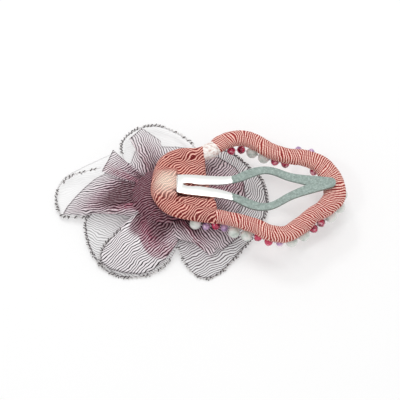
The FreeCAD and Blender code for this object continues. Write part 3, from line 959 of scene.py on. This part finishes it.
def make_sheer_petals(beads, threads):
    for index, (name, rim) in enumerate(SHEER_RIMS.items()):
        turn, solid, thread = SHEER_LOOKS[name]
        material = organza("organza_sheer_" + name, SHEER_COLOURS, solid, thread, turn)
        edge, _ = smooth(rim, 96)
        grid = petal_grid(edge, SHEER_ROOT_Z, 1.1, PETAL_GATHERS["sheer"], index * 1.7, 44, beads)
        sew_petal("sheer", name, grid, sheer_look, material)
        stitched = TURNED_EDGE_LEFT if name == "left" else [tuple(p) for p in grid[-1][2:-2:4]]
        stitches, marks = overlock("edge_threads_" + name, stitched, index * 3.1)
        finish_overlock(stitches, marks, threads, "petal_edging_" + name)


def make_folded_petals(beads, threads):
    for index, (name, rim) in enumerate(MAUVE_RIMS.items()):
        turn, lean, accent, pale, shaded, half_solid, rim_solid = MAUVE_LOOKS[name]
        material = organza("organza_mauve_" + name, MAUVE_COLOURS, (0.98, half_solid, rim_solid),
                           (0.02, 0.40), turn)
        edge, _ = straight(rim, 84)
        grid = petal_grid(edge, MAUVE_ROOT_Z, 1.25, PETAL_GATHERS["mauve"], index * 2.3 + 1, 40, beads)
        sew_petal("mauve", name, grid, fold_look(lean, accent, pale, shaded), material)
    stitches, marks = overlock("edge_threads_fold", FOLDED_EDGE, 21.0)
    finish_overlock(stitches, marks, threads)


def make_petals():
    beads = [((centre - ORIGIN) / MM, radius / MM)
             for node in ("pearl_beads", "crimson_beads", "lilac_beads")
             for centre, radius in islands(node)]
    threads = [edging("edging_core", (0.50, 0.46, 0.47), (0.80, 0.77, 0.77)),
               edging("edging_dark", (0.015, 0.012, 0.014), (0.14, 0.11, 0.11)),
               edging("edging_pale", (0.55, 0.52, 0.50), (0.92, 0.90, 0.88))]
    make_sheer_petals(beads, threads)
    make_folded_petals(beads, threads)


# -------- gathered cloth at the middle
# Side profiles from the middle of the upper face round to the middle of the lower: r, z.
BACKING_PROFILE = [(0.3, 8.05), (6.0, 8.1), (8.6, 7.9), (10.4, 7.2), (12.2, 5.9), (13.6, 4.4),
                   (12.8, 4.2), (10.0, 6.0), (6.0, 6.5), (0.3, 6.7)]
CORE_PROFILE = [(0.3, 6.6), (4.4, 6.6), (5.2, 5.6), (5.6, 4.4), (5.3, 3.2), (4.4, 2.7), (0.3, 2.7)]


def gathered_disc(name, profile, folds, depth, node, slot, material):
    """A sewn pad with gathered cloth drawn over it: a lathe form with uneven radial folds."""
    outline, _ = smooth(profile, 60)
    around = 220
    verts, uvs, looks, faces = [], [], [], []
    widest = max(p.x for p in outline)
    for point in outline:
        share = min(point.x / widest, 1.0)
        for k in range(around):
            angle = math.tau * k / around
            spin = Vector((math.cos(angle), math.sin(angle)))
            fold = math.sin(folds * angle + 2.0 * math.sin(3 * angle + 1)) * share ** 2
            fold += 0.5 * noise.noise(Vector((spin.x * 5, spin.y * 5, point.y * 0.4)))
            place = FLOWER + spin * (point.x + 0.35 * depth * fold)
            verts.append(at(place.x, place.y, point.y + depth * fold * share))
            uvs.append((place.x, place.y))
            looks.append((0.08 + 0.2 * share, 0.2, 0.0, 1.0))
    for ring in range(len(outline) - 1):
        faces += ring_quads(ring * around, (ring + 1) * around, around, turned=True)
    faces.append(tuple(range(around)))
    faces.append(tuple((len(outline) - 1) * around + k for k in range(around))[::-1])
    obj = new_object(name, verts, faces, uvs, looks)
    finish_piece(obj, material, "clip", slot, node)


def make_flower_middle():
    material = organza("organza_gathered", MAUVE_COLOURS, (1.0, 1.0, 1.0), (0.0, 0.0), 70)
    gathered_disc("backing_gathers", BACKING_PROFILE, 26, 0.28, "flower_backing", "backing_felt",
                  material)
    gathered_disc("core_gathers", CORE_PROFILE, 16, 0.22, "flower_centre", "flower_core", material)


# -------- beads
def round_bead(centre, radius, bore, seed):
    """A slightly uneven round bead with a small dimple at each end of its hole."""
    verts, faces = [], []
    rings, sides = 18, 24
    side = bore.orthogonal().normalized()
    other = bore.cross(side)
    for r in range(rings + 1):
        polar = math.pi * r / rings
        dimple = 1 - 0.14 * math.exp(-(math.sin(polar) / 0.16) ** 2)
        for k in range(sides):
            angle = math.tau * k / sides
            out = side * math.cos(angle) + other * math.sin(angle)
            way = bore * math.cos(polar) + out * math.sin(polar)
            uneven = 1 + 0.012 * noise.noise(way * 1.7 + Vector((seed, 0, 0)))
            verts.append(centre + way * radius * 0.995 * dimple * uneven)
    for r in range(rings):
        faces += ring_quads(r * sides, (r + 1) * sides, sides, turned=True)
    return verts, faces


def cut_bead(centre, radius, bore, spin):
    """A faceted rondelle: bands of flat facets round its hole, each turned by half a facet."""
    levels = [(-0.86, 0.34), (-0.62, 0.72), (-0.14, 0.985),
              (0.14, 0.985), (0.62, 0.72), (0.86, 0.34)]
    sides = 9
    side = bore.orthogonal().normalized()
    other = bore.cross(side)
    verts, faces = [], []
    for level, (along, out) in enumerate(levels):
        for k in range(sides):
            angle = spin + math.tau * (k + 0.5 * (level % 2)) / sides
            way = side * math.cos(angle) + other * math.sin(angle)
            verts.append(centre + (bore * along + way * out) * radius)
    for level in range(len(levels) - 1):
        shift = level % 2
        for k in range(sides):
            m = (k + 1) % sides
            a, b = level * sides, (level + 1) * sides
            if shift:
                faces.append((a + k, b + k, b + m))
                faces.append((a + k, b + m, a + m))
            else:
                faces.append((a + k, b + k, a + m))
                faces.append((a + m, b + k, b + m))
    faces.append(tuple(range(sides)))
    faces.append(tuple((len(levels) - 1) * sides + k for k in range(sides))[::-1])
    return verts, faces


def bead_bore(centre, stations):
    """A strung bead's hole follows the loop where it sits."""
    place = (centre - ORIGIN) / MM
    nearest = min(range(len(stations)), key=lambda i: (stations[i][0] - place.xy).length_squared)
    out = stations[nearest][1]
    return Vector((out.y, -out.x, 0.12)).normalized()


def make_beads():
    """Each bead of the CAD as a pearl or a cut bead of the same size, bored along the loop."""
    stations = loop_stations(360)
    random.seed(11)
    nacre = pearl()
    crimson = glass_bead("crimson_glass", (0.20, 0.002, 0.03), (0.68, 0.015, 0.10), (1.0, 0.55, 0.66))
    lilac = glass_bead("lilac_glass", (0.26, 0.12, 0.32), (0.66, 0.42, 0.66), (1.0, 0.80, 0.90))
    looks = {
        "pearl_beads": ("pearl", nacre),
        "crimson_beads": ("crimson_glass", crimson),
        "lilac_beads": ("lilac_glass", lilac),
        "centre_pearl": ("pearl", nacre),
        "centre_crimson_beads": ("crimson_glass", crimson),
    }
    for node, (slot, material) in looks.items():
        parts = []
        for index, (centre, radius) in enumerate(islands(node)):
            bore = bead_bore(centre, stations)
            if slot == "pearl":
                parts.append(round_bead(centre, radius, bore, index * 2.7))
            else:
                parts.append(cut_bead(centre, radius, bore, random.random() * 6))
        verts, faces = joined(parts)
        obj = new_object(node + "_finish", verts, faces, smooth_shade=slot == "pearl")
        weld(obj, 1e-6)
        finish_piece(obj, material, "clip", slot, node)


# -------- the tongue and small metal
def make_tongue():
    """The pressed strip with its burred edges rounded."""
    for node, body in (("tongue_blade", "tongue"), ("tongue_root", "clip")):
        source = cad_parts[node]
        obj = in_scene(node + "_strip", source.data.copy())
        obj.data.materials.clear()
        weld(obj, 2e-6)
        bevel = obj.modifiers.new("edges", "BEVEL")
        bevel.width = 0.16 * MM
        bevel.segments = 3
        bevel.limit_method = "ANGLE"
        bevel.angle_limit = math.radians(50)
        apply_modifiers(obj)
        obj.data.shade_smooth()
        finish_piece(obj, tongue_steel(), body, "tongue_steel", node)


def apply_modifiers(obj):
    graph = bpy.context.evaluated_depsgraph_get()
    mesh = bpy.data.meshes.new_from_object(obj.evaluated_get(graph))
    obj.modifiers.clear()
    obj.data = mesh


def make_small_parts():
    """Looks for the CAD pieces that are shown as they are."""
    plated = satin_steel("plated_steel", (0.62, 0.64, 0.65), 0.3)
    looks = {"clip_frame": plated, "hinge_plate": plated, "hinge_rivets": plated,
             "bead_thread": edging("beading_thread", (0.70, 0.64, 0.68), (0.92, 0.88, 0.90))}
    for node, material in looks.items():
        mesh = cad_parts[node].data
        mesh.materials.clear()
        mesh.materials.append(material)


# -------- floor, light and camera
CAMERA_ELEVATION = 57.0
CAMERA_DISTANCE = 0.70
FLOOR_HALF = 3
ROOM_LIGHT = 0.72
VIEW_WIDTH = 0.163  # width of the picture at the clip
VIEW_CENTRE = (20.2, -7.3, 13.5)


def make_camera():
    target = at(*VIEW_CENTRE)
    angle = math.radians(CAMERA_ELEVATION)
    back = Vector((0, -math.cos(angle), math.sin(angle)))
    data = bpy.data.cameras.new("camera")
    data.sensor_width = 36.0
    data.lens = data.sensor_width * CAMERA_DISTANCE / VIEW_WIDTH
    camera = in_scene("camera", data)
    camera.location = target + back * CAMERA_DISTANCE
    camera.rotation_euler = (-back).to_track_quat("-Z", "Y").to_euler()
    bpy.context.scene.camera = camera


def area_light(name, direction, distance, size, power):
    """A soft panel that faces the clip from a direction."""
    data = bpy.data.lights.new(name, "AREA")
    data.shape = "RECTANGLE"
    data.size = data.size_y = size
    data.energy = power
    light = in_scene(name, data)
    way = Vector(direction).normalized()
    light.location = at(*VIEW_CENTRE) + way * distance
    light.rotation_euler = (-way).to_track_quat("-Z", "Y").to_euler()


def make_studio():
    """The floor under the clip, an even bright room and three soft panels."""
    corners = [(x * FLOOR_HALF, y * FLOOR_HALF, 0) for x, y in ((-1, -1), (1, -1), (1, 1), (-1, 1))]
    floor = new_object("floor", corners, [(0, 1, 2, 3)])
    floor.data.materials.append(floor_material())
    world = bpy.data.worlds.new("studio")
    bpy.context.scene.world = world
    world.use_nodes = True
    background = world.node_tree.nodes["Background"]
    background.inputs["Color"].default_value = (1.0, 1.0, 1.0, 1.0)
    background.inputs["Strength"].default_value = ROOM_LIGHT
    area_light("top_panel", (0.1, 0.3, 1.0), 0.9, 0.34, 1.6)
    area_light("rear_panel", (-0.25, 0.62, 0.75), 0.8, 0.16, 0.9)
    area_light("side_panel", (-0.45, -0.35, 0.8), 0.9, 0.09, 0.6)
    bpy.context.scene.view_settings.view_transform = "Standard"


# -------- making it all
make_camera()
make_studio()
make_band()
make_cover()
make_petals()
make_flower_middle()
make_beads()
make_tongue()
make_small_parts()
